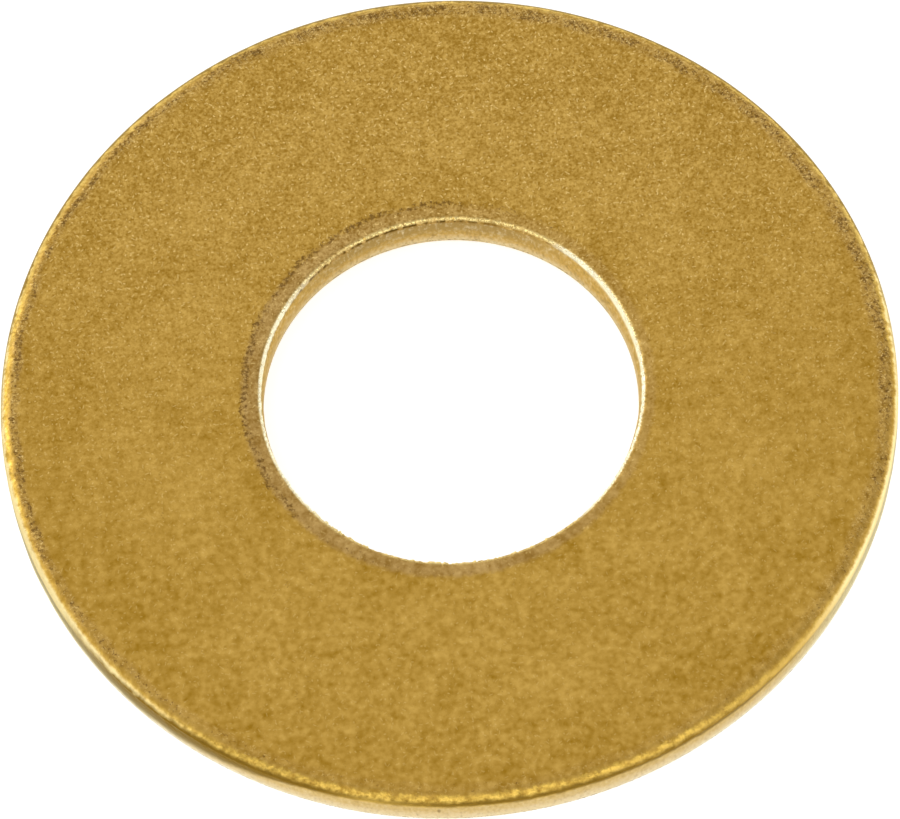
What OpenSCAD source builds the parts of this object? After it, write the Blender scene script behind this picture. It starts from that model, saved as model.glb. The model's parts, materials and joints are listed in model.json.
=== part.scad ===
/* [Washer] */
// Outside diameter of the disc
outside_d = 31.75; // [20:0.05:50]
// Diameter of the bore, for a 12.7 mm bolt
bore_d = 13.5; // [5:0.05:16]
// Thickness between the two flat faces
thickness = 1.65; // [1.2:0.05:3]

/* [Punched rim] */
// Radius of the worn corner between the upper face and the outer edge
rim_upper_r = 0.35; // [0.1:0.01:0.5]
// Radius of the worn corner between the lower face and the outer edge
rim_lower_r = 0.25; // [0.1:0.01:0.5]
// Width of the rim of the upper face that the punch drew down
rim_roll_w = 0.9; // [0.6:0.05:1.5]
// Depth to which that rim was drawn down
rim_roll_drop = 0.05; // [0.01:0.01:0.1]

/* [Punched bore] */
// Radius of the corner between the upper face and the bore
bore_upper_r = 0.15; // [0.05:0.01:0.35]
// Radius of the corner between the lower face and the bore
bore_lower_r = 0.2; // [0.05:0.01:0.35]
// Width of the ring around the bore that the punch drew down
bore_roll_w = 0.7; // [0.5:0.05:1.2]
// Depth to which that ring was drawn down
bore_roll_drop = 0.04; // [0.01:0.01:0.1]

/* [Hidden] */
$fn = 180;

outside_r = outside_d / 2;
bore_r = bore_d / 2;

// How far a corner's cutter reaches past the section, so that no cut ends on a face
cut_margin = 0.5;

// Slope of each drawn-down ring, in degrees below the flat face
rim_slope = atan(rim_roll_drop / rim_roll_w);
bore_slope = atan(bore_roll_drop / bore_roll_w);

// Half of the section, from the bore to the outer edge, with sharp corners.
// The upper face is flat, and slopes down a little towards each punched edge.
module sharp_section() {
    polygon([
        [bore_r, 0],
        [outside_r, 0],
        [outside_r, thickness - rim_roll_drop],
        [outside_r - rim_roll_w, thickness],
        [bore_r + bore_roll_w, thickness],
        [bore_r, thickness - bore_roll_drop],
    ]);
}

// What a corner radius takes away where a face that falls at slope degrees meets
// an upright wall at x = 0. The section lies at x < 0, and the corner at y = 0.
module corner_waste(radius, slope) {
    centre_y = radius * tan(slope) - radius / cos(slope);
    reach = radius + cut_margin;
    difference() {
        translate([-radius, centre_y])
            polygon([
                [0, 0],
                [reach, 0],
                [reach, reach / cos(slope) - reach * tan(slope)],
                [reach * sin(slope), reach * cos(slope)],
            ]);
        translate([-radius, centre_y])
            circle(r = radius);
    }
}

// Section of the ring with all four of its corners worn round
module section() {
    difference() {
        sharp_section();
        translate([outside_r, thickness - rim_roll_drop])
            corner_waste(rim_upper_r, rim_slope);
        translate([outside_r, 0])
            mirror([0, 1])
                corner_waste(rim_lower_r, 0);
        translate([bore_r, thickness - bore_roll_drop])
            mirror([1, 0])
                corner_waste(bore_upper_r, bore_slope);
        translate([bore_r, 0])
            mirror([1, 0])
                mirror([0, 1])
                    corner_waste(bore_lower_r, 0);
    }
}

// The washer is one punched ring, lying flat on its lower face
module washer() {
    color([0.69, 0.55, 0.23])
        rotate_extrude()
            section();
}

washer();
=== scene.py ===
"""Dresses a punched brass fender washer: its ring, its tumbled and tarnished brass, and the studio round it.

The ring is one surface of two parameters, the angle round the bore and the distance along the section.
Lengths are held in metres, and the patterns of the brass are worked out in millimetres. A side of the washer
is an angle round its axis: 0 degrees is +X, on the right, and 90 degrees is +Y, away from the camera.
"""

import json
import math

import bpy
import numpy as np
from mathutils import Matrix, Vector


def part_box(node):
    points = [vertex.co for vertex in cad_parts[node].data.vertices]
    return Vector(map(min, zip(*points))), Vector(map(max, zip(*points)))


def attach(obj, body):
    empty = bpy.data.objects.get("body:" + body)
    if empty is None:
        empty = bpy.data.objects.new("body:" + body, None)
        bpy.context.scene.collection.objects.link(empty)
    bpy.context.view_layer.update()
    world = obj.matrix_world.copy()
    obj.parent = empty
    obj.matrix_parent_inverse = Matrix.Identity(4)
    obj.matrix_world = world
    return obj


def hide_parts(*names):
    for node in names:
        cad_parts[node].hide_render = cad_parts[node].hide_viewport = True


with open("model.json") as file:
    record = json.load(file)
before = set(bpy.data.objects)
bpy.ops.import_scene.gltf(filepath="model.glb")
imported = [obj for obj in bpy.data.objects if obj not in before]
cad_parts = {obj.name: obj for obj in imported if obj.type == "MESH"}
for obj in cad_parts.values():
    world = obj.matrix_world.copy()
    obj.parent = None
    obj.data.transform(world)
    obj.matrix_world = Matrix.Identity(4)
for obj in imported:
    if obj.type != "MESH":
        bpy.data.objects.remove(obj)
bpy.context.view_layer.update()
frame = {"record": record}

bl_info = {
    "name": "Punched Brass Washer",
    "version": (1, 0, 0),
    "blender": (4, 5, 0),
    "location": "3D View > Sidebar > Washer",
    "description": "Builds a tumbled brass fender washer and a plain studio to show it in",
    "category": "Add Mesh",
}

BODY = "root"
NODE = "washer"

MM = 0.001
NODE_LOW, NODE_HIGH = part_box(NODE)
BORE_MOUNT = next(m for m in frame["record"]["mounts"] if m["name"] == "bore")

OUTSIDE_RADIUS = (NODE_HIGH.x - NODE_LOW.x) / 2
THICKNESS = NODE_HIGH.z - NODE_LOW.z
BORE_RADIUS = BORE_MOUNT["dims"]["r_mm"] * MM

# Place of the nick in the outer wall, in millimetres, and how it is drawn out along the height
NICK = (-1.60, -15.79, 0.867)
DRAWN_OUT = (1.0, 1.0, 0.45)

# Name, place, and width and height of each softbox, in metres
SOFTBOXES = (
    ("overhead", (0.0, 0.12, 0.5), (0.5, 0.5)),
    ("left", (-0.5, 0.02, 0.17), (0.75, 0.26)),
    ("right", (0.5, 0.0, 0.1), (0.75, 0.18)),
    ("front", (0.0, -0.5, 0.23), (1.3, 0.29)),
    ("corner", (-0.38, 0.36, 0.2), (0.5, 0.34)),
    ("back", (0.12, 0.5, 0.2), (0.75, 0.34)),
)

BRIGHTEST = 20.0
PICTURE_WIDTH = 900
SENSOR_WIDTH = 36.0


# Settings


def length(name, default_mm, description):
    """A length, given in millimetres, and shown in the panel in the scene's own unit."""
    return bpy.props.FloatProperty(
        name=name, description=description, default=default_mm * MM, min=0.0, precision=5, subtype="DISTANCE",
        unit="LENGTH",
    )


def offset(name, default_mm, description):
    """A level offset in X and Y."""
    return bpy.props.FloatVectorProperty(
        name=name, description=description, size=2, precision=5, default=[value * MM for value in default_mm],
        subtype="TRANSLATION", unit="LENGTH",
    )


def share(name, default, description, highest=1.0):
    """A plain number from nothing to highest."""
    return bpy.props.FloatProperty(name=name, description=description, default=default, min=0.0, max=highest)


def lamp(name, default, lit):
    """Brightness of a softbox, or of a part of the room."""
    return share(name, default, "Brightness of the " + lit, BRIGHTEST)


def colour(name, default, description):
    """A linear colour without alpha."""
    return bpy.props.FloatVectorProperty(
        name=name, description=description, default=default, min=0.0, max=1.0, size=3, subtype="COLOR"
    )


def angle(name, default_degrees, description):
    """An angle, shown in degrees."""
    return bpy.props.FloatProperty(
        name=name, description=description, default=math.radians(default_degrees), subtype="ANGLE",
        unit="ROTATION",
    )


class WasherShape(bpy.types.PropertyGroup):
    """Sizes of the ring's section, and how far punching and tumbling left it from perfect"""

    outside_radius: length("Outside radius", OUTSIDE_RADIUS / MM, "From the axis to the outer wall")
    bore_radius: length("Bore radius", BORE_RADIUS / MM, "From the axis to the wall of the bore")
    thickness: length("Thickness", THICKNESS / MM, "Between the two flat faces")
    rim_roll_w: length("Rim draw-down width", 0.9, "Width of the rim that the punch drew down")
    rim_ease_r: length("Rim ease", 0.4, "Radius that leads from the face into the worn band of the rim")
    rim_band_r: length("Rim band", 0.8, "Radius of the worn band along the rim, nearly a chamfer")
    rim_turn_r: length("Rim turn", 0.08, "Small radius between the worn band and the outer wall")
    rim_lower_r: length("Lower rim corner", 0.25, "Radius between the lower face and the outer wall")
    bore_roll_w: length("Bore draw-down width", 0.7, "Width of the ring round the bore that was drawn down")
    bore_ease_r: length("Bore ease", 0.25, "Radius that leads from the face into the corner of the bore")
    bore_upper_r: length("Upper bore corner", 0.26, "Radius between the upper face and the bore")
    bore_lower_r: length("Lower bore corner", 0.2, "Radius between the lower face and the bore")
    bore_land: length("Bore land", 0.09, "How far the smooth lower part of the bore stands in")
    bore_flare: length("Bore flare", 0.06, "How far the top of the torn part stands back from the land")
    torn_depth: length("Torn depth", 0.35, "How far down the wall of the bore its torn part reaches")
    bore_drift: offset("Bore drift", (0.035, 0.02), "How far the bore is punched off centre")
    bore_lean: offset("Bore lean", (0.085, -0.005), "How far the top of the bore stands from its foot")
    lip_swell: length("Lip swell", 0.05, "How far the lip of the bore stands in on its swollen side")
    lip_side: angle("Lip side", 222, "Side of the bore where the lip is swollen")
    lip_spread: angle("Lip spread", 20, "How far that swelling spreads to either side")
    # Side where the painted highlight on the upper corner of the bore is broadest
    broad_side: angle("Broad side", 20, "Side of the bore where its pale shoulder is broadest")
    broad_spread: angle("Broad spread", 20, "How far that breadth spreads to either side")
    burr: length("Burr", 0.06, "Height of the ragged lip along the upper edge of the bore")
    tear: length("Tear", 0.03, "Depth of the torn line below that lip")
    rim_ripple: length("Rim ripple", 0.008, "How far the worn band of the rim wanders in and out")
    wall_tear: length("Wall tear", 0.01, "Depth of the torn texture of both punched walls")
    around: bpy.props.IntProperty(
        name="Steps around", description="Faces round the ring", default=1750, min=64, max=4000
    )
    seed: bpy.props.IntProperty(name="Seed", description="Draws other ripples, burrs and tears", default=7)


class BrassFinish(bpy.types.PropertyGroup):
    """Colours and wear of the brass, with its painted highlights, painted reflections and painted shade"""

    face_low: colour("Face, dark grain", (0.322, 0.172, 0.012), "Darkest brass of the tumbled faces")
    face_high: colour("Face, pale grain", (0.592, 0.371, 0.084), "Palest brass of the tumbled faces")
    fleck: colour("Flecks", (0.800, 0.575, 0.215), "Small bright strokes that tumbling leaves")
    film: colour("Film", (0.450, 0.280, 0.110), "Thin pale film over the far side of the face")
    haze_low: colour("Haze, dark grain", (0.290, 0.160, 0.032), "Darkest mauve brown haze beside the edges")
    haze_high: colour("Haze, pale grain", (0.530, 0.345, 0.120), "Palest mauve brown haze beside the edges")
    tarnish: colour("Tarnish", (0.135, 0.066, 0.014), "Brown specks beside the punched edges")
    band_low: colour("Band, dark", (0.460, 0.278, 0.048), "Darker patches of the rim's worn band")
    clean: colour("Clean brass", (0.710, 0.466, 0.089), "Gold patches of the rim's worn band")
    bare: colour("Bare brass", (0.840, 0.570, 0.126), "Paler brass rubbed bare, on its outer half")
    # Painted highlight: the palest brass stands in for lamps reflected on the flanks of the rim and on the
    # far side of its worn band
    pale: colour("Pale brass", (0.970, 0.800, 0.410), "Palest brass, on the flanks of the rim")
    # Partly a dark tarnish line, partly painted shade: a painted reflection of the dark surroundings at the
    # foot of the worn band
    tarnish_and_shade_line: colour("Dark heel", (0.215, 0.120, 0.014), "Olive brown line at the foot of the worn band")
    # Painted shade where that line reaches down the wall on the left front
    heel_low: colour("Low heel", (0.290, 0.220, 0.110), "Greyer brown where that line reaches down the wall")
    rim_wall: colour("Rim wall", (0.630, 0.455, 0.190), "Upper part of the outer wall")
    # Painted reflection of the white floor: the outer wall is paler towards its foot, and palest at its edge
    # by the floor
    rim_floor_sheen: colour("Rim foot", (0.830, 0.710, 0.490), "Pale lower part of the outer wall")
    foot: colour("Rim edge at the floor", (0.960, 0.920, 0.820), "Palest edge of the outer wall")
    # Painted reflection: the outer wall is greyer and paler on its flanks
    flank_wall_sheen: colour("Pale wall", (0.610, 0.550, 0.350), "Greyer brass on the flanks of the outer wall")
    # Painted shade on the left flank of the outer wall and of the worn band
    left_flank_shade: colour("Left wall", (0.300, 0.255, 0.115), "Darker grey brass on its left flank")
    # Torn tan brass, made darker than the outer wall as painted shade inside the hole
    bore_wall: colour("Bore wall", (0.570, 0.360, 0.090), "Torn tan wall of the bore")
    # Painted reflection of the floor: the wall of the bore is paler towards its foot; also the colour of the
    # paler mottles
    pale_mottle_and_bore_floor_sheen: colour("Bore foot", (0.780, 0.650, 0.400), "Pale lower part of the wall of the bore")
    # Painted shade below the lip on the far side; also the colour of the bore's darker mottles
    bore_shade: colour("Bore shade", (0.355, 0.230, 0.070), "Darker brass below the lip, on the far side")
    burr: colour("Burr", (0.980, 0.790, 0.330), "Freshly sheared brass of the lip round the bore")
    # Painted highlight: near white on the upper corner of the bore, on its flanks
    corner_highlight: colour("Shoulder", (1.000, 0.950, 0.700), "Pale upper corner of the bore, on its flanks")
    # Painted shade in the torn groove below the lip
    crevice: colour("Crevice", (0.085, 0.045, 0.005), "Dark brown of the torn line below the lip")
    edge_tint: colour("Glancing tint", (0.820, 0.760, 0.560), "Colour of reflections seen edge on")
    face_roughness: share("Face roughness", 0.42, "Spread of the reflections in the faces")
    band_roughness: share("Band roughness", 0.3, "Spread of the reflections in the worn band")
    burr_roughness: share("Burr roughness", 0.2, "Spread of the reflections in the burr")
    wall_roughness: share("Wall roughness", 0.4, "Spread of the reflections in the punched walls")
    # Side where that painted shade is darkest
    darkest_shade_side: angle("Dark side", 233, "Side where the foot of the worn band is darkest")
    # Side where that painted shade reaches farthest down the wall
    deepest_shade_side: angle("Deep side", 222, "Side where that dark reaches farthest down the wall")
    grain: length("Grain", 0.125, "Size of the fine grain that tumbling leaves")


class StudioSet(bpy.types.PropertyGroup):
    """Floor, lamps and camera"""

    floor: colour("Floor", (0.80, 0.80, 0.80), "Colour of the floor")
    floor_size: length("Floor size", 3000.0, "Side of the square floor")
    floor_gap: length("Floor gap", 0.02, "How far the floor lies below the washer")
    floor_glow: share("Floor glow", 0.5, "Glow of the floor that only the camera and the metal see")
    overhead: lamp("Overhead softbox", 0.35, "softbox overhead")
    left: lamp("Left softbox", 1.2, "softbox on the left")
    right: lamp("Right softbox", 1.1, "softbox on the right")
    front: lamp("Front softbox", 1.25, "softbox above the camera's side")
    back: lamp("Back softbox", 0.8, "softbox behind the washer")
    corner: lamp("Corner softbox", 1.2, "softbox behind the washer on the left")
    walls: lamp("Walls", 0.16, "room at the horizon")
    ceiling: lamp("Ceiling", 0.745, "room overhead")
    elevation: angle("Elevation", 63.72, "Height of the camera above the floor, as an angle")
    roll: angle("Roll", -5.07, "Turn of the camera about its own line of sight")
    distance: length("Distance", 284.0, "From the camera to the washer")
    focal_px: bpy.props.FloatProperty(
        name="Focal length", description="Focal length in pixels of the picture", default=8000.0, min=100.0
    )


# Shape of the ring


def straight(start, end, steps):
    """Evenly spaced points from start to end, without the last one."""
    done = np.linspace(0.0, 1.0, steps, endpoint=False)
    return start[0] + (end[0] - start[0]) * done, start[1] + (end[1] - start[1]) * done


def arc(centre_r, centre_z, radius, start, end, steps):
    """Points on a circle about (centre_r, centre_z) from start to end in degrees, without the last one."""
    turn = np.radians(np.linspace(start, end, steps, endpoint=False))
    return centre_r + radius * np.cos(turn), centre_z + radius * np.sin(turn)


def worn_edge(wall_r, top, outward, width, bends):
    """Upper corner of a punched edge, from the flat face to the wall at wall_r.

    The face first falls as the square of the distance, until it has the first slope, and then turns through
    circular bends. Each bend is (radius, slope at its end in degrees, steps), and the first has no radius. A
    bend of radius p from slope a to slope b runs p (sin b - sin a) outwards and p (cos a - cos b) down.
    outward is 1 at the rim and -1 at the bore. Returns the stretches from the face to the wall."""
    first = math.radians(bends[0][1])
    slopes = [first] + [math.radians(bend[1]) for bend in bends[1:]]
    turns = list(zip(bends[1:], slopes, slopes[1:]))
    lead = width - sum(bend[0] * (math.sin(b) - math.sin(a)) for bend, a, b in turns)
    out = np.linspace(0.0, lead, bends[0][2] + 1)
    stretches = [(out, out ** 2 * math.tan(first) / (2 * lead))]
    for (radius, _, steps), a, b in turns:
        slope = np.linspace(a, b, steps + 1)
        start_out, start_fall = stretches[-1][0][-1], stretches[-1][1][-1]
        out = start_out + radius * (np.sin(slope) - math.sin(a))
        fall = start_fall + radius * (math.cos(a) - np.cos(slope))
        stretches.append((out, fall))
    return [(wall_r - outward * (width - out), top - fall) for out, fall in stretches]


def section(shape):
    """Radius and height of each point of the section, up the outer wall, in over the upper face, down the
    bore and out under the lower face, with the name of the stretch that each point belongs to."""
    rim, bore, top = shape.outside_radius, shape.bore_radius - shape.bore_land, shape.thickness
    flared = bore + shape.bore_flare
    rim_roll, rim_ease, rim_band, rim_turn = worn_edge(
        rim, top, 1, shape.rim_roll_w,
        ((None, 5, 2), (shape.rim_ease_r, 25, 3), (shape.rim_band_r, 57, 6), (shape.rim_turn_r, 90, 4)),
    )
    bore_roll, bore_ease, bore_corner = worn_edge(
        flared, top, -1, shape.bore_roll_w,
        ((None, 4, 2), (shape.bore_ease_r, 25, 3), (shape.bore_upper_r, 90, 9)),
    )

    def inward(stretch):
        """The stretch from the wall to the face, without the point at its end."""
        return stretch[0][:0:-1], stretch[1][:0:-1]

    def onward(stretch):
        """The stretch from the face to the wall, without the point at its end."""
        return stretch[0][:-1], stretch[1][:-1]

    rim_top = rim_turn[1][-1]
    bore_top = bore_corner[1][-1]
    torn_end = bore_top - shape.torn_depth
    lower_rim, lower_bore = shape.rim_lower_r, shape.bore_lower_r
    stretches = {
        "rim_wall": straight((rim, lower_rim), (rim, rim_top), 6),
        "rim_turn": inward(rim_turn),
        "rim_band": inward(rim_band),
        "rim_ease": inward(rim_ease),
        "rim_roll": inward(rim_roll),
        "upper_face": straight((rim - shape.rim_roll_w, top), (flared + shape.bore_roll_w, top), 2),
        "bore_roll": onward(bore_roll),
        "bore_ease": onward(bore_ease),
        "bore_corner": onward(bore_corner),
        "bore_torn": straight((flared, bore_top), (bore, torn_end), 5),
        "bore_wall": straight((bore, torn_end), (bore, lower_bore), 4),
        "bore_lower": arc(bore + lower_bore, lower_bore, lower_bore, 180, 270, 4),
        "lower_face": straight((bore + lower_bore, 0.0), (rim - lower_rim, 0.0), 2),
        "rim_lower": arc(rim - lower_rim, lower_rim, lower_rim, 270, 360, 5),
    }
    radius = np.concatenate([r for r, z in stretches.values()])
    height = np.concatenate([z for r, z in stretches.values()])
    part = np.concatenate([np.full(len(r), name) for name, (r, z) in stretches.items()])
    return radius, height, part


def periodic_field(rows, columns, wave_rows, wave_columns, seed):
    """Smooth random field that closes on itself both ways, from -1 to 1 or so: white noise whose spectrum is
    multiplied by a bell, which lets through waves longer than the two given, in grid steps."""
    noise = np.random.default_rng(seed).standard_normal((rows, columns))
    frequency_rows = np.fft.fftfreq(rows)[:, None] * wave_rows
    frequency_columns = np.fft.fftfreq(columns)[None, :] * wave_columns
    pass_band = np.exp(-(frequency_rows ** 2 + frequency_columns ** 2) / 0.5)
    field = np.real(np.fft.ifft2(np.fft.fft2(noise) * pass_band))
    return (field - field.mean()) / (2.0 * field.std())


def around_field(count, wave, seed):
    """The same for one turn of the ring: a smooth random value for each angle."""
    return periodic_field(count, 1, wave, 1.0, seed)[:, 0]


def bump_at(part, name, where, width):
    """A bell along the section, 1 at the share where of the way along the stretch name, width points wide."""
    place = np.flatnonzero(part == name)
    middle = place[0] + where * len(place)
    return np.exp(-((np.arange(len(part)) - middle) / width) ** 2)[None, :]


def bell_round(shape, middle, spread):
    """A bell over the angles from 0 to a full turn, 1 at middle and 1/e at spread to either side of it."""
    return np.exp(-((angles(shape) - middle) / spread) ** 2)


def angles(shape):
    """Angle of each row of the grid."""
    return np.linspace(0.0, 2 * np.pi, shape.around, endpoint=False)[:, None]


def ring_points(shape, radius, height, part):
    """Points of the ring on a grid of angle by distance along the section, the mask of the torn line, and how
    ragged the lip is at each angle.

    Each point is the section's, moved along the section's own normal by the sum of the ripple of the rim,
    the burr, the torn line below it and the torn texture of the walls, and then moved sideways by the drift
    and the lean of the bore, which fade out evenly from the bore to the rim."""
    count, seed, turn = shape.around, shape.seed, angles(shape)

    along_r = np.roll(radius, -1) - np.roll(radius, 1)
    along_z = np.roll(height, -1) - np.roll(height, 1)
    size = np.hypot(along_r, along_z)
    normal_r, normal_z = along_z / size, -along_r / size

    walls = np.isin(part, ["rim_wall", "bore_torn", "bore_wall"]).astype(float)[None, :]
    band = bump_at(part, "rim_band", 0.5, 4.0)
    lip = bump_at(part, "bore_corner", 0.33, 2.6)
    groove = bump_at(part, "bore_corner", 0.72, 1.9)
    swollen = bell_round(shape, shape.lip_side, shape.lip_spread)

    torn = periodic_field(count, len(part), 14, 2.5, seed)
    ragged = 0.8 * around_field(count, 3, seed + 1) + 0.6 * around_field(count, 7, seed + 2)
    ragged = ragged + 0.35 * around_field(count, 60, seed + 5)
    ripple = around_field(count, 22, seed + 3) + around_field(count, 90, seed + 4)
    broken = 0.4 + 0.9 * ragged + 1.3 * around_field(count, 8, seed + 6)
    broken = broken + 0.3 * around_field(count, 40, seed + 7)
    crevice = groove * np.clip(broken, 0, 1)[:, None]
    lift = (
        walls * shape.wall_tear * torn
        + lip * (shape.burr * np.clip(ragged, -0.5, 1.0)[:, None] + shape.lip_swell * swollen)
        - shape.tear * crevice
        + band * shape.rim_ripple * ripple[:, None]
    )
    ring_radius = radius[None, :] + lift * normal_r[None, :]
    ring_height = height[None, :] + lift * normal_z[None, :]
    fade = (shape.outside_radius - ring_radius) / (shape.outside_radius - shape.bore_radius)
    up = ring_height / shape.thickness
    shift_x = (shape.bore_drift[0] + shape.bore_lean[0] * up) * fade
    shift_y = (shape.bore_drift[1] + shape.bore_lean[1] * up) * fade
    x, y = ring_radius * np.cos(turn) + shift_x, ring_radius * np.sin(turn) + shift_y
    return np.stack([x, y, ring_height], axis=-1), crevice, ragged


def ring_masks(shape, part, crevice, ragged):
    """Masks over the same grid, by name: both punched walls, the burr, the upper corner of the bore that
    takes a painted highlight, which is broader and lies lower on its broad side, and the torn line, which
    takes painted shade."""
    walls = np.isin(part, ["rim_wall", "rim_lower", "bore_torn", "bore_wall", "bore_lower"]).astype(float)
    wide = bell_round(shape, shape.broad_side, shape.broad_spread)
    usual, broad = bump_at(part, "bore_corner", 0.5, 3.6), bump_at(part, "bore_corner", 0.72, 4.4)
    return {
        "wall": np.broadcast_to(walls, crevice.shape),
        "lip": bump_at(part, "bore_corner", 0.3, 1.9) * np.clip(0.95 + 0.5 * ragged, 0.0, 1.0)[:, None],
        "corner_highlight": (1.0 - wide) * usual + wide * broad,
        "crevice": crevice,
    }


def grid_mesh(name, points):
    """Mesh of a grid that closes on itself both ways: point (i, j) joins (i + 1, j) and (i, j + 1)."""
    rows, columns = points.shape[:2]
    index = np.arange(rows * columns).reshape(rows, columns)
    ahead, inward = np.roll(index, -1, axis=0), np.roll(index, -1, axis=1)
    both = np.roll(ahead, -1, axis=1)
    quads = np.stack([index, ahead, both, inward], axis=-1).reshape(-1, 4)
    mesh = bpy.data.meshes.new(name)
    mesh.vertices.add(rows * columns)
    mesh.vertices.foreach_set("co", points.reshape(-1).astype(np.float32))
    mesh.loops.add(quads.size)
    mesh.loops.foreach_set("vertex_index", quads.reshape(-1).astype(np.int32))
    mesh.polygons.add(len(quads))
    mesh.polygons.foreach_set("loop_start", np.arange(0, quads.size, 4, dtype=np.int32))
    mesh.polygons.foreach_set("loop_total", np.full(len(quads), 4, dtype=np.int32))
    mesh.update(calc_edges=True)
    mesh.polygons.foreach_set("use_smooth", np.ones(len(quads), dtype=bool))
    mesh.validate()
    return mesh


def point_mask(mesh, name, values):
    """Stores one number for each point of the mesh, for its material to read."""
    attribute = mesh.attributes.new(name, "FLOAT", "POINT")
    attribute.data.foreach_set("value", values.reshape(-1).astype(np.float32))


# Nodes


def side(degrees):
    """Level unit vector from the axis towards one side of the washer."""
    turn = math.radians(degrees)
    return math.cos(turn), math.sin(turn), 0.0


class Nodes:
    """Adds nodes to one tree and wires them up. A plain value given for an input sets it, and a socket is
    linked to it."""

    def __init__(self, tree):
        self.tree = tree

    def add(self, kind, settings=None, **inputs):
        """A node, with its settings and its inputs by name. An underscore stands for a space."""
        node = self.tree.nodes.new(kind)
        for key, value in (settings or {}).items():
            setattr(node, key, value)
        for key, value in inputs.items():
            self.set(node.inputs[key.replace("_", " ")], value)
        return node

    def set(self, socket, value):
        if isinstance(value, bpy.types.NodeSocket):
            self.tree.links.new(value, socket)
        else:
            socket.default_value = value

    def group(self, tree, **inputs):
        """Outputs of a group node."""
        return self.add("ShaderNodeGroup", {"node_tree": tree}, **inputs).outputs

    def attribute(self, name):
        """Mask that the mesh stores under this name."""
        return self.add("ShaderNodeAttribute", {"attribute_name": name}).outputs["Fac"]

    def math(self, operation, *values, clamp=False):
        node = self.add("ShaderNodeMath", {"operation": operation, "use_clamp": clamp})
        for socket, value in zip(node.inputs, values):
            self.set(socket, value)
        return node.outputs[0]

    def plus(self, first, second, clamp=False):
        return self.math("ADD", first, second, clamp=clamp)

    def minus(self, first, second):
        return self.math("SUBTRACT", first, second)

    def times(self, *values):
        """Product of the values."""
        product = values[0]
        for value in values[1:]:
            product = self.math("MULTIPLY", product, value)
        return product

    def times_plus(self, first, second, added, clamp=False):
        """first times second, plus added."""
        return self.math("MULTIPLY_ADD", first, second, added, clamp=clamp)

    def most(self, *values):
        """Largest of the values."""
        largest = values[0]
        for value in values[1:]:
            largest = self.math("MAXIMUM", largest, value)
        return largest

    def least(self, first, second):
        return self.math("MINIMUM", first, second)

    def vector(self, operation, *values, scale=None):
        node = self.add("ShaderNodeVectorMath", {"operation": operation})
        for socket, value in zip(node.inputs, values):
            self.set(socket, value)
        if scale is not None:
            self.set(node.inputs["Scale"], scale)
        return node.outputs["Value" if operation in {"LENGTH", "DOT_PRODUCT", "DISTANCE"} else "Vector"]

    def split(self, vector):
        """X, Y and Z of a vector, by name."""
        return self.add("ShaderNodeSeparateXYZ", Vector=vector).outputs

    def noise(self, vector, scale, detail=2.0, roughness=0.5):
        """Noise from 0 to 1, mostly near a half."""
        inputs = {"Vector": vector, "Scale": scale, "Detail": detail, "Roughness": roughness}
        return self.add("ShaderNodeTexNoise", **inputs).outputs["Fac"]

    def waver(self, vector, scale, detail=2.0, roughness=0.5):
        """The same noise about zero."""
        return self.minus(self.noise(vector, scale, detail, roughness), 0.5)

    def ramp(self, value, low, high, out_low=0.0, out_high=1.0):
        """Eases from out_low, where value is low, to out_high, where it is high."""
        node = self.add("ShaderNodeMapRange", {"interpolation_type": "SMOOTHSTEP"})
        limits = {"From Min": low, "From Max": high, "To Min": out_low, "To Max": out_high}
        for key, given in ({"Value": value} | limits).items():
            self.set(node.inputs[key], given)
        return node.outputs["Result"]

    def facing(self, direction, toward):
        """Cosine of the angle from direction to toward, which is a unit vector too or a side in degrees."""
        linked = isinstance(toward, bpy.types.NodeSocket)
        return self.vector("DOT_PRODUCT", direction, toward if linked else side(toward))

    def sector(self, direction, toward, edge, core, out_low=0.0, out_high=1.0):
        """Eases from out_low, edge degrees away from toward, to out_high, core degrees away from it."""
        low, high = math.cos(math.radians(edge)), math.cos(math.radians(core))
        return self.ramp(self.facing(direction, toward), low, high, out_low, out_high)

    def mix(self, factor, first, second):
        """Colour from first, where factor is 0, to second, where it is 1."""
        node = self.add("ShaderNodeMix", {"data_type": "RGBA"})
        self.set(node.inputs["Factor"], factor)
        for socket, value in ((node.inputs[6], first), (node.inputs[7], second)):
            self.set(socket, value if isinstance(value, bpy.types.NodeSocket) else (*value, 1.0))
        return node.outputs[2]

    def blend(self, factor, first, second):
        """The same for numbers."""
        return self.add("ShaderNodeMix", {"data_type": "FLOAT"}, Factor=factor, A=first, B=second).outputs[0]


def new_group(name, inputs, outputs):
    """An empty shader node group. inputs hold name: (kind, default), and outputs name: kind."""
    tree = bpy.data.node_groups.new(name, "ShaderNodeTree")
    for key, (kind, default) in inputs.items():
        socket = tree.interface.new_socket(key, in_out="INPUT", socket_type="NodeSocket" + kind)
        if default is not None:
            socket.default_value = default
    for key, kind in outputs.items():
        tree.interface.new_socket(key, in_out="OUTPUT", socket_type="NodeSocket" + kind)
    return tree, tree.nodes.new("NodeGroupInput").outputs, tree.nodes.new("NodeGroupOutput").inputs


def cleared(data):
    """Nodes of a new material or world, with the ones it starts with taken out."""
    data.use_nodes = True
    data.node_tree.nodes.clear()
    return Nodes(data.node_tree)


# Patterns of the brass


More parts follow.
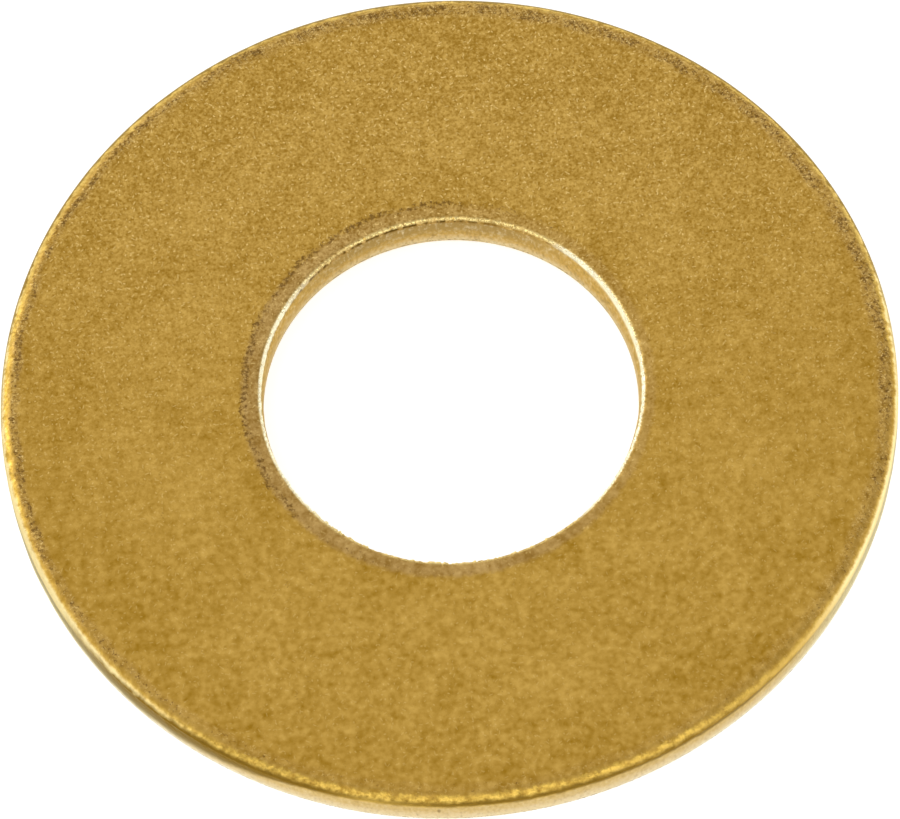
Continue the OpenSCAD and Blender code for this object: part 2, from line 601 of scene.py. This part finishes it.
def strokes(n, vector, per_mm, half_length, half_width):
    """One short straight stroke in each cell of a random pattern, turned at random. Returns its mask and a
    random value for the cell. The lengths are in cells."""
    cells = n.add("ShaderNodeTexVoronoi", Vector=vector, Scale=per_mm)
    pick = n.add("ShaderNodeSeparateColor", Color=cells.outputs["Color"]).outputs
    local = n.vector("SCALE", n.vector("SUBTRACT", vector, cells.outputs["Position"]), scale=per_mm)
    turn = n.times(pick[0], math.pi)
    turned = n.add("ShaderNodeVectorRotate", {"rotation_type": "Z_AXIS"}, Vector=local, Angle=turn)
    place = n.split(turned.outputs["Vector"])
    along = n.ramp(n.math("ABSOLUTE", place["X"]), half_length, 0.5 * half_length)
    across = n.ramp(n.math("ABSOLUTE", place["Y"]), half_width, 0.4 * half_width)
    return n.times(along, across), pick[1]


def grain_group():
    """Fine grain, short strokes and soft clouds of tumbled metal, in millimetres, crisp on the far side and
    soft on the near side."""
    tree, given, out = new_group(
        "Tumbled Grain",
        {"Vector": ("Vector", None), "Grain": ("Float", 0.11)},
        {"Tone": "Float", "Fleck": "Float", "Height": "Float"},
    )
    n = Nodes(tree)
    place = given["Vector"]
    per_mm = n.math("DIVIDE", 1.0, given["Grain"])
    crisp = n.ramp(n.split(place)["Y"], -10.0, 14.0, 0.22, 1.65)

    # Noise of four sizes, of which the second takes the place of the first where the grain is soft
    fine = n.waver(place, per_mm, 2.0, 0.6)
    soft = n.waver(place, n.times(per_mm, 0.55), 1.0, 0.4)
    middle = n.waver(place, n.times(per_mm, 0.3), 1.0)
    cloud = n.waver(place, n.times(per_mm, 0.06), 3.0, 0.6)
    tone = n.times(fine, crisp, 1.48)
    tone = n.times_plus(soft, n.times_plus(crisp, -1.0, 1.15, clamp=True), tone)
    tone = n.times_plus(middle, 0.75, tone)
    tone = n.times_plus(cloud, 0.7, tone)

    # Short dark strokes, and pale threads where the soft noise crosses its middle
    dark, dark_pick = strokes(n, n.vector("ADD", place, (3.3, 7.1, 1.7)), n.times(per_mm, 0.6), 0.3, 0.19)
    tone = n.times_plus(n.times(dark, dark_pick, crisp), -0.3, tone)
    thread = n.times(n.ramp(n.math("ABSOLUTE", soft), 0.035, 0.005), n.ramp(middle, -0.02, 0.06))
    tone = n.times_plus(n.times(thread, crisp), 0.22, tone)

    # Bright flecks, short and long
    short, short_pick = strokes(n, place, n.times(per_mm, 0.66), 0.27, 0.17)
    long, long_pick = strokes(n, place, n.times(per_mm, 0.44), 0.32, 0.1)
    bright = n.times(short, n.math("POWER", short_pick, 3.5))
    bright = n.most(bright, n.times(long, n.ramp(long_pick, 0.45, 1.0, 0.0, 0.75)))
    n.set(out["Tone"], tone)
    n.set(out["Fleck"], n.times(bright, n.times_plus(crisp, 0.7, 0.28)))
    n.set(out["Height"], n.times_plus(middle, 2.0, fine))
    return tree


def tarnish_group():
    """Brown specks in a ring beside a punched edge, thickest on one side of the washer, in millimetres."""
    tree, given, out = new_group(
        "Edge Tarnish",
        {
            "Vector": ("Vector", None), "Ring Radius": ("Float", 15.3), "Half Width": ("Float", 0.35),
            "Heavy Side": ("Vector", side(0)), "Least": ("Float", 0.1), "Most": ("Float", 1.0),
        },
        {"Speckle": "Float", "Glint": "Float", "Strength": "Float"},
    )
    n = Nodes(tree)
    flat = n.vector("MULTIPLY", given["Vector"], (1.0, 1.0, 0.0))
    radius = n.times_plus(n.waver(flat, 0.7), 0.5, n.vector("LENGTH", flat))
    away = n.math("ABSOLUTE", n.minus(radius, given["Ring Radius"]))
    band = n.ramp(n.math("DIVIDE", away, given["Half Width"]), 1.0, 0.25)
    facing = n.facing(n.vector("NORMALIZE", flat), given["Heavy Side"])
    amount = n.ramp(facing, -0.5, 0.93, given["Least"], given["Most"])
    patchy = n.ramp(n.noise(flat, 0.9), 0.35, 0.6, 0.6, 1.0)
    strength = n.times(band, amount, patchy)
    threshold = n.times_plus(strength, -0.2, 0.66)
    speckle = n.noise(flat, 6.5, 3.0, 0.75)
    glint = n.noise(n.vector("ADD", flat, (5.1, 2.3, 0.7)), 8.5, 2.0, 0.7)
    n.set(out["Speckle"], n.ramp(n.minus(speckle, threshold), -0.02, 0.18))
    n.set(out["Glint"], n.times(n.ramp(glint, 0.56, 0.7), strength))
    n.set(out["Strength"], strength)
    return tree


def heel_group():
    """Dark line at the foot of the worn band of the rim, in millimetres, partly tarnish and partly painted
    shade. Foot is the height of that foot.
    """
    tree, given, out = new_group(
        "Dark Heel",
        {
            "Vector": ("Vector", None), "Foot": ("Float", 1.28), "Dark Side": ("Vector", side(233)),
            "Near Side": ("Vector", side(285)), "Deep Side": ("Vector", side(222)),
        },
        {"Heel": "Float"},
    )
    n = Nodes(tree)
    flat = n.vector("NORMALIZE", n.vector("MULTIPLY", given["Vector"], (1.0, 1.0, 0.0)))
    toward = n.split(flat)
    height = n.times_plus(n.waver(given["Vector"], 2.5, 3.0, 0.6), 0.25, n.split(given["Vector"])["Z"])
    above_foot = n.minus(height, given["Foot"])

    # On the near side, a line that sinks towards both flanks, partly tarnish and partly painted shade, and
    # spreads down the wall on the deep side as painted shade
    dark = n.sector(flat, given["Dark Side"], 30, 14)
    near = n.sector(flat, given["Near Side"], 39, 16, 0.2, 0.95)
    amount = n.times(n.most(dark, near), n.ramp(toward["Y"], -0.05, -0.3))
    right_sunk = n.ramp(toward["X"], 0.1, 0.75, -0.01, 0.1)
    far_right_sunk = n.ramp(toward["X"], 0.65, 1.0, 0.0, 0.5)
    left_sunk = n.ramp(toward["X"], -0.55, -0.95, 0.0, 0.12)
    from_line = n.plus(above_foot, n.plus(n.plus(right_sunk, far_right_sunk), left_sunk))
    half = n.ramp(toward["X"], 0.45, 0.75, 0.13, 0.1)
    deep = n.sector(flat, given["Deep Side"], 26, 0, 0.0, 0.48)
    below_top = n.ramp(n.minus(from_line, half), 0.1, -0.1)
    above_end = n.ramp(n.plus(from_line, n.plus(half, deep)), n.times_plus(deep, -0.5, -0.1), 0.1)
    line = n.times(below_top, above_end, amount)

    # On the far side, a thin outline at the turn of the edge
    edge = n.times_plus(n.most(toward["Y"], 0.0), -0.13, above_foot)
    outline = n.times(n.ramp(edge, 0.1, 0.03), n.ramp(toward["Y"], -0.3, 0.4, 0.0, 0.85))
    n.set(out["Heel"], n.most(line, outline))
    return tree


def punched_group():
    """Mottled texture of a punched wall, drawn out a little along the punch, in millimetres."""
    outputs = {"Mottle": "Float", "Streak": "Float", "Height": "Float"}
    tree, given, out = new_group("Punched Wall", {"Vector": ("Vector", None)}, outputs)
    n = Nodes(tree)
    mottle = n.waver(given["Vector"], 4.5, 4.0, 0.65)
    streak = n.waver(n.vector("MULTIPLY", given["Vector"], DRAWN_OUT), 9.0)
    n.set(out["Mottle"], mottle)
    n.set(out["Streak"], streak)
    n.set(out["Height"], n.plus(n.times_plus(streak, 0.5, mottle), 0.75))
    return tree


# Brass


class Place:
    """Where a point of the washer lies, as sockets of its material, in millimetres.

    mm is the point itself, radius its distance from the axis, away its Y and height its Z. toward is the
    level unit vector from the axis to it, and across the X of that, from -1 on the left to 1 on the right.
    jag makes edges ragged, on_rim tells the rim from the bore, and flank is 1 on the rim's left and right."""

    def __init__(self, n, shape):
        self.rim, self.bore = shape.outside_radius / MM, shape.bore_radius / MM
        self.mm = n.vector("SCALE", n.add("ShaderNodeTexCoord").outputs["Object"], scale=1.0 / MM)
        flat = n.vector("MULTIPLY", self.mm, (1.0, 1.0, 0.0))
        self.radius = n.vector("LENGTH", flat)
        self.away, self.height = n.split(self.mm)["Y"], n.split(self.mm)["Z"]
        self.toward = n.vector("NORMALIZE", flat)
        self.across = n.split(self.toward)["X"]
        self.jag = n.waver(self.mm, 5.0, 3.0, 0.7)
        self.on_rim = n.math("GREATER_THAN", self.radius, (self.rim + self.bore) / 2)
        self.flank = n.most(n.ramp(self.across, 0.62, 0.9), n.ramp(self.across, -0.55, -0.85))


def edge_stains(n, at):
    """Tarnish beside both edges: its specks, and the glints and the zone of the specks along the rim."""
    tree = tarnish_group()
    rim_far = n.group(
        tree, Vector=n.vector("SUBTRACT", at.mm, (0.05, -0.1, 0.0)), Ring_Radius=at.rim - 0.49,
        Half_Width=0.4, Heavy_Side=side(47), Least=0.0, Most=1.15,
    )
    rim_left = n.group(
        tree, Vector=at.mm, Ring_Radius=at.rim - 0.48, Half_Width=0.26, Heavy_Side=side(143), Least=0.4,
        Most=1.15,
    )
    bore = n.group(
        tree, Vector=n.vector("SUBTRACT", at.mm, (0.05, 0.09, 0.0)), Ring_Radius=at.bore + 0.54,
        Half_Width=0.23, Heavy_Side=side(145), Least=0.35, Most=1.3,
    )
    specks = n.most(rim_far["Speckle"], rim_left["Speckle"], bore["Speckle"])
    glints = n.most(rim_far["Glint"], rim_left["Glint"])
    return specks, glints, n.most(rim_far["Strength"], rim_left["Strength"])


def face_colour(n, at, finish, grain, mottle, stain_zone):
    """Grain of the faces, darker towards both edges and pale again at the worn band, then the film, the haze
    beside the edges and the flecks."""
    level = n.least(n.ramp(at.radius, 11.0, 14.8, 0.5, 0.4), n.ramp(at.radius, 7.2, 9.0, 0.42, 0.5))
    level = n.plus(level, n.ramp(at.radius, at.rim - 0.6, at.rim - 0.3, 0.0, 0.14))
    face = n.mix(n.plus(grain["Tone"], level, clamp=True), finish.face_low, finish.face_high)
    face = n.mix(n.ramp(at.away, -8.0, 12.0, 0.0, 0.1), face, finish.film)
    hazy_tone = n.times_plus(grain["Tone"], 1.3, n.times_plus(mottle, 0.9, 0.46), clamp=True)
    near_bore = n.ramp(n.times_plus(at.jag, 0.3, at.radius), at.bore + 0.7, at.bore + 0.45)
    hazy = n.times(near_bore, n.ramp(n.facing(at.toward, 210), -1.0, 0.3, 0.45, 0.95))
    hazy = n.most(hazy, n.times(stain_zone, 0.45))
    face = n.mix(hazy, face, n.mix(hazy_tone, finish.haze_low, finish.haze_high))
    return n.mix(n.times(grain["Fleck"], 0.66), face, finish.fleck)


def worn_band(n, at, finish):
    """Worn band of the rim: its mask, the mask of its outer half, and its colour.

    Its inner edge is ragged, and smoother on two sides. It is gold inside and bare outside, with a painted
    highlight on both flanks and on its far side, painted shade on its left flank, and dull on one side of the
    near edge."""
    radial = n.waver(n.vector("SCALE", at.toward, scale=at.rim), 2.4, 3.0, 0.6)
    dull = n.sector(at.toward, 302, 26, 0)
    smooth_right = n.sector(at.toward, 334, 33, 16)
    smooth = n.most(n.sector(at.toward, 212, 30, 14), smooth_right)
    narrow = n.most(dull, smooth_right, n.sector(at.toward, 42, 37, 14))
    rags = n.times_plus(radial, 0.26, n.times(at.jag, 0.34))
    ragged_radius = n.times_plus(narrow, -0.06, at.radius)
    ragged_radius = n.times_plus(rags, n.times_plus(smooth, -0.65, 1.0), ragged_radius)
    in_band = n.ramp(n.times_plus(smooth, -0.07, ragged_radius), at.rim - 0.34, at.rim - 0.18)
    out_band = n.ramp(n.times_plus(smooth, 0.04, ragged_radius), at.rim - 0.18, at.rim - 0.05)

    patches = n.times_plus(n.plus(at.jag, radial), 2.4, 0.6, clamp=True)
    gold = n.mix(patches, finish.band_low, finish.clean)
    near = n.facing(at.toward, 267)
    # Painted highlight on both flanks of the worn band
    bare = n.mix(n.times(n.ramp(near, -0.7, -0.1), at.flank, 0.9), finish.bare, finish.pale)
    bare = n.mix(n.times(dull, 0.85), bare, finish.face_high)
    # Painted shade on the left flank of the worn band
    bare = n.mix(n.ramp(at.across, -0.6, -0.95, 0.0, 0.24), bare, finish.left_flank_shade)
    band = n.mix(out_band, gold, bare)
    # Painted highlight: the band is paler on its far side
    return in_band, out_band, n.mix(n.ramp(near, 0.1, -0.6, 0.0, 0.15), band, finish.pale)


def rim_wall_colour(n, at, finish, uneven):
    """Outer wall: paler towards its foot, a painted reflection of the floor, greyer and paler on its flanks,
    a painted reflection of the lamps, and darker on its left flank, painted shade. uneven is a height that
    wavers.
    """
    # Painted reflection on the flanks: greyer and paler, palest towards the top
    flank = n.mix(n.ramp(at.height, 0.92, 1.2), finish.flank_wall_sheen, finish.pale)
    # Painted shade, darker on the left flank
    left = n.times(n.ramp(at.across, -0.6, -0.93, 0.0, 0.95), n.ramp(at.height, 0.3, 0.8))
    flank = n.mix(left, flank, finish.left_flank_shade)
    # Painted reflection of the floor, paler towards the foot
    wall = n.mix(n.ramp(uneven, 1.0, 0.15), finish.rim_wall, finish.rim_floor_sheen)
    wall = n.mix(at.flank, wall, flank)
    # Painted reflection of the floor, palest at the edge next to the floor
    above = n.minus(at.height, n.times(n.math("ABSOLUTE", at.across), 0.25))
    return n.mix(n.ramp(above, 0.32, 0.08), wall, finish.foot)


def bore_wall_colour(n, at, finish, uneven):
    """Wall of the bore, darker than the outer wall as painted shade inside the hole, paler towards its foot
    as a painted reflection of the floor, and with painted shade below the lip on the far side.
    """
    # Painted shade below the lip on the far side
    shade = n.times(n.ramp(n.facing(at.toward, 93), 0.62, 0.95), n.ramp(uneven, 0.5, 1.2, 0.0, 0.9))
    wall = n.mix(shade, finish.bore_wall, finish.bore_shade)
    # Painted reflection of the floor, paler towards the foot
    return n.mix(n.ramp(uneven, 0.75, 0.1), wall, finish.pale_mottle_and_bore_floor_sheen)


def wall_colour(n, at, finish, grain, punched):
    """Both punched walls, with darker and paler mottling."""
    uneven = n.times_plus(punched["Mottle"], 0.8, at.height)
    wall = n.mix(at.on_rim, bore_wall_colour(n, at, finish, uneven), rim_wall_colour(n, at, finish, uneven))
    rough = n.times_plus(n.plus(punched["Mottle"], punched["Streak"]), -3.0, n.times(grain["Tone"], -0.6))
    darker = n.times(n.most(rough, 0.0), n.times_plus(at.on_rim, -0.45, 0.8))
    wall = n.mix(darker, wall, n.mix(at.on_rim, finish.bore_shade, finish.haze_low))
    return n.mix(n.times(n.least(rough, 0.0), -0.5), wall, finish.pale_mottle_and_bore_floor_sheen)


def with_bore_corner(n, at, finish, surface):
    """The surface with a painted highlight on the upper corner of the bore, on its flanks, and painted shade
    in the torn line elsewhere.
    """
    flank = n.most(n.ramp(at.across, 0.57, 0.7), n.ramp(at.across, -0.6, -0.86))
    # Painted highlight on the upper corner of the bore, on its flanks
    corner_highlight = n.times(n.ramp(n.attribute("corner_highlight"), 0.2, 0.75), flank)
    corner_highlight = n.times(corner_highlight, n.times_plus(at.jag, 0.9, 1.05, clamp=True))
    surface = n.mix(corner_highlight, surface, finish.corner_highlight)
    # Painted shade in the torn groove below the lip, away from the flanks
    worn = n.most(n.ramp(at.across, 0.1, 0.4), flank)
    crevice = n.times(n.attribute("crevice"), n.times_plus(worn, -0.8, 1.0))
    return n.mix(n.times(crevice, 0.95), surface, finish.crevice)


def with_rim_marks(n, at, finish, surface, band_foot):
    """The surface with the dark line at the foot of the worn band, partly tarnish and partly painted shade,
    and the nick in the outer wall.
    """
    tarnish_and_shade_line = n.group(
        heel_group(), Vector=at.mm, Foot=band_foot / MM, Dark_Side=side(math.degrees(finish.darkest_shade_side)),
        Near_Side=side(285), Deep_Side=side(math.degrees(finish.deepest_shade_side)),
    )["Heel"]
    # Greyer where the line reaches down the wall, painted shade
    heel_colour = n.mix(n.ramp(at.height, 1.2, 0.45), finish.tarnish_and_shade_line, finish.heel_low)
    surface = n.mix(n.times(tarnish_and_shade_line, at.on_rim), surface, heel_colour)
    drawn, nick = n.vector("MULTIPLY", at.mm, DRAWN_OUT), n.vector("MULTIPLY", NICK, DRAWN_OUT)
    return n.mix(n.ramp(n.vector("DISTANCE", drawn, nick), 0.09, 0.03, 0.0, 0.55), surface, finish.tarnish)


def brass_material(finish, shape, band_foot):
    """Brass: grained on its faces, speckled beside both edges, bright on the worn band and the burr, and pale
    and mottled on the punched walls, with painted highlights on the flanks, painted reflections of the floor
    on the walls and painted shade in the bore and at the foot of the worn band. band_foot is the height of
    the foot of the worn band."""
    material = bpy.data.materials.new("tumbled brass")
    n = cleared(material)
    at = Place(n, shape)
    grain = n.group(grain_group(), Vector=at.mm, Grain=finish.grain / MM)
    punched = n.group(punched_group(), Vector=at.mm)
    wall = n.attribute("wall")
    lip = n.times(n.attribute("lip"), n.ramp(n.noise(at.mm, 7.0, 3.0, 0.7), 0.38, 0.52, 0.3, 1.0))
    specks, glints, stain_zone = edge_stains(n, at)
    in_band, out_band, band = worn_band(n, at, finish)
    inside = n.minus(1.0, out_band)

    surface = n.mix(in_band, face_colour(n, at, finish, grain, punched["Mottle"], stain_zone), band)
    surface = n.mix(n.times(specks, inside, 0.85), surface, finish.tarnish)
    surface = n.mix(n.times(glints, inside, 0.75), surface, finish.fleck)
    surface = n.mix(lip, surface, finish.burr)
    surface = n.mix(wall, surface, wall_colour(n, at, finish, grain, punched))
    surface = with_bore_corner(n, at, finish, surface)
    surface = with_rim_marks(n, at, finish, surface, band_foot)
    at_floor = n.times(n.ramp(at.height, 0.3, 0.22), n.ramp(at.height, 0.12, 0.18))
    chipped = n.ramp(n.plus(punched["Mottle"], punched["Streak"]), -0.02, 0.12)
    surface = n.mix(n.times(chipped, at_floor, wall, 0.6), surface, finish.tarnish)

    rough = n.times_plus(grain["Tone"], -0.1, finish.face_roughness)
    rough = n.blend(in_band, rough, finish.band_roughness)
    rough = n.blend(lip, rough, finish.burr_roughness)
    rough = n.blend(wall, rough, finish.wall_roughness)
    beside_rim = n.ramp(at.radius, at.rim - 0.8, at.rim - 0.3)
    beside_bore = n.ramp(at.radius, at.bore + 0.8, at.bore + 0.3)
    relief = n.times_plus(n.most(beside_rim, beside_bore), n.times(punched["Height"], 1.2), grain["Height"])
    bump = n.add("ShaderNodeBump", Strength=0.8, Distance=0.02 * MM, Height=relief)
    shader = n.add(
        "ShaderNodeBsdfPrincipled", Base_Color=surface, Metallic=1.0, Roughness=rough,
        Specular_Tint=(*finish.edge_tint, 1.0), Normal=bump.outputs["Normal"],
    )
    n.add("ShaderNodeOutputMaterial", Surface=shader.outputs["BSDF"])
    return material


# Studio


def floor_material(studio):
    """Pale floor that the camera and the metal see as white, and that keeps the shadow of the washer."""
    material = bpy.data.materials.new("studio floor")
    n = cleared(material)
    light = n.add("ShaderNodeLightPath").outputs
    seen = n.most(light["Is Camera Ray"], light["Is Glossy Ray"], light["Is Transmission Ray"])
    matt = n.add("ShaderNodeBsdfDiffuse", Color=(*studio.floor, 1.0))
    glow = n.add("ShaderNodeEmission", Color=(1.0, 1.0, 1.0, 1.0), Strength=n.times(seen, studio.floor_glow))
    both = n.add("ShaderNodeAddShader")
    n.set(both.inputs[0], matt.outputs[0])
    n.set(both.inputs[1], glow.outputs[0])
    n.add("ShaderNodeOutputMaterial", Surface=both.outputs[0])
    return material


def studio_world(studio):
    """Soft surroundings: pale overhead, darker towards the horizon."""
    world = bpy.data.worlds.new("studio")
    n = cleared(world)
    up = n.split(n.add("ShaderNodeTexCoord").outputs["Generated"])["Z"]
    shade = n.ramp(up, 0.15, 0.6, studio.walls, studio.ceiling)
    background = n.add("ShaderNodeBackground", Color=(1.0, 1.0, 1.0, 1.0), Strength=shade)
    n.add("ShaderNodeOutputWorld", Surface=background.outputs[0])
    return world


def softbox(name, place, size, radiance):
    """Rectangular lamp at place, aimed at the washer, with the given radiance."""
    data = bpy.data.lights.new(name, "AREA")
    data.shape = "RECTANGLE"
    data.size, data.size_y = size
    data.energy = radiance * math.pi * size[0] * size[1]
    lamp = bpy.data.objects.new(name, data)
    lamp.location = place
    lamp.rotation_euler = (-Vector(place)).to_track_quat("-Z", "Y").to_euler()
    bpy.context.scene.collection.objects.link(lamp)


def set_camera(studio):
    """Camera above the near side, looking at the washer and turned by roll about its line of sight."""
    back = Vector((0.0, -math.cos(studio.elevation), math.sin(studio.elevation)))
    level = Vector((1.0, 0.0, 0.0))
    above = back.cross(level)
    right = math.cos(studio.roll) * level + math.sin(studio.roll) * above
    up = -math.sin(studio.roll) * level + math.cos(studio.roll) * above
    data = bpy.data.cameras.new("camera")
    data.sensor_width = SENSOR_WIDTH
    data.lens = studio.focal_px / PICTURE_WIDTH * SENSOR_WIDTH
    data.clip_start, data.clip_end = 0.01, 10.0
    camera = bpy.data.objects.new("camera", data)
    turned = Matrix((right, up, back)).transposed().to_4x4()
    turned.translation = back * studio.distance
    camera.matrix_world = turned
    bpy.context.scene.collection.objects.link(camera)
    bpy.context.scene.camera = camera


# Operators and panel


class WASHER_OT_add_ring(bpy.types.Operator):
    """Add the brass ring in place of the plain solid"""

    bl_idname = "washer.add_ring"
    bl_label = "Add Ring"

    def execute(self, context):
        shape, finish = context.scene.washer_shape, context.scene.brass_finish
        radius, height, part = section(shape)
        points, crevice, ragged = ring_points(shape, radius, height, part)
        mesh = grid_mesh("brass_ring", points)
        for name, values in ring_masks(shape, part, crevice, ragged).items():
            point_mask(mesh, name, values)
        mesh.materials.append(brass_material(finish, shape, height[part == "rim_turn"].max()))
        ring = bpy.data.objects.new("brass_ring", mesh)
        context.scene.collection.objects.link(ring)
        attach(ring, BODY)
        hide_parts(NODE)
        return {"FINISHED"}


class WASHER_OT_set_studio(bpy.types.Operator):
    """Set up the floor, the lamps and the camera"""

    bl_idname = "washer.set_studio"
    bl_label = "Set Studio"

    def execute(self, context):
        studio = context.scene.studio_set
        half, low = studio.floor_size / 2, -studio.floor_gap
        corners = [(-half, -half, low), (half, -half, low), (half, half, low), (-half, half, low)]
        mesh = bpy.data.meshes.new("floor")
        mesh.from_pydata(corners, [], [(0, 1, 2, 3)])
        mesh.materials.append(floor_material(studio))
        floor = bpy.data.objects.new("floor", mesh)
        context.scene.collection.objects.link(floor)
        context.scene.world = studio_world(studio)
        context.scene.view_settings.view_transform = "Standard"
        for name, place, size in SOFTBOXES:
            softbox(name + " softbox", place, size, getattr(studio, name))
        set_camera(studio)
        return {"FINISHED"}


class VIEW3D_PT_washer(bpy.types.Panel):
    """Sizes, finish and studio of the washer, with the buttons that build them"""

    bl_label = "Washer"
    bl_space_type = "VIEW_3D"
    bl_region_type = "UI"
    bl_category = "Washer"

    def draw(self, context):
        scene = context.scene
        for settings, operator in (
            (scene.washer_shape, None),
            (scene.brass_finish, WASHER_OT_add_ring.bl_idname),
            (scene.studio_set, WASHER_OT_set_studio.bl_idname),
        ):
            box = self.layout.box()
            for key in settings.bl_rna.properties.keys():
                if key not in {"rna_type", "name"}:
                    box.prop(settings, key)
            if operator:
                box.operator(operator)


CLASSES = (WasherShape, BrassFinish, StudioSet, WASHER_OT_add_ring, WASHER_OT_set_studio, VIEW3D_PT_washer)


def register():
    for cls in CLASSES:
        bpy.utils.register_class(cls)
    bpy.types.Scene.washer_shape = bpy.props.PointerProperty(type=WasherShape)
    bpy.types.Scene.brass_finish = bpy.props.PointerProperty(type=BrassFinish)
    bpy.types.Scene.studio_set = bpy.props.PointerProperty(type=StudioSet)


def unregister():
    del bpy.types.Scene.studio_set
    del bpy.types.Scene.brass_finish
    del bpy.types.Scene.washer_shape
    for cls in reversed(CLASSES):
        bpy.utils.unregister_class(cls)


def main():
    register()
    bpy.ops.washer.set_studio()
    bpy.ops.washer.add_ring()


if __name__ == "__main__":
    main()
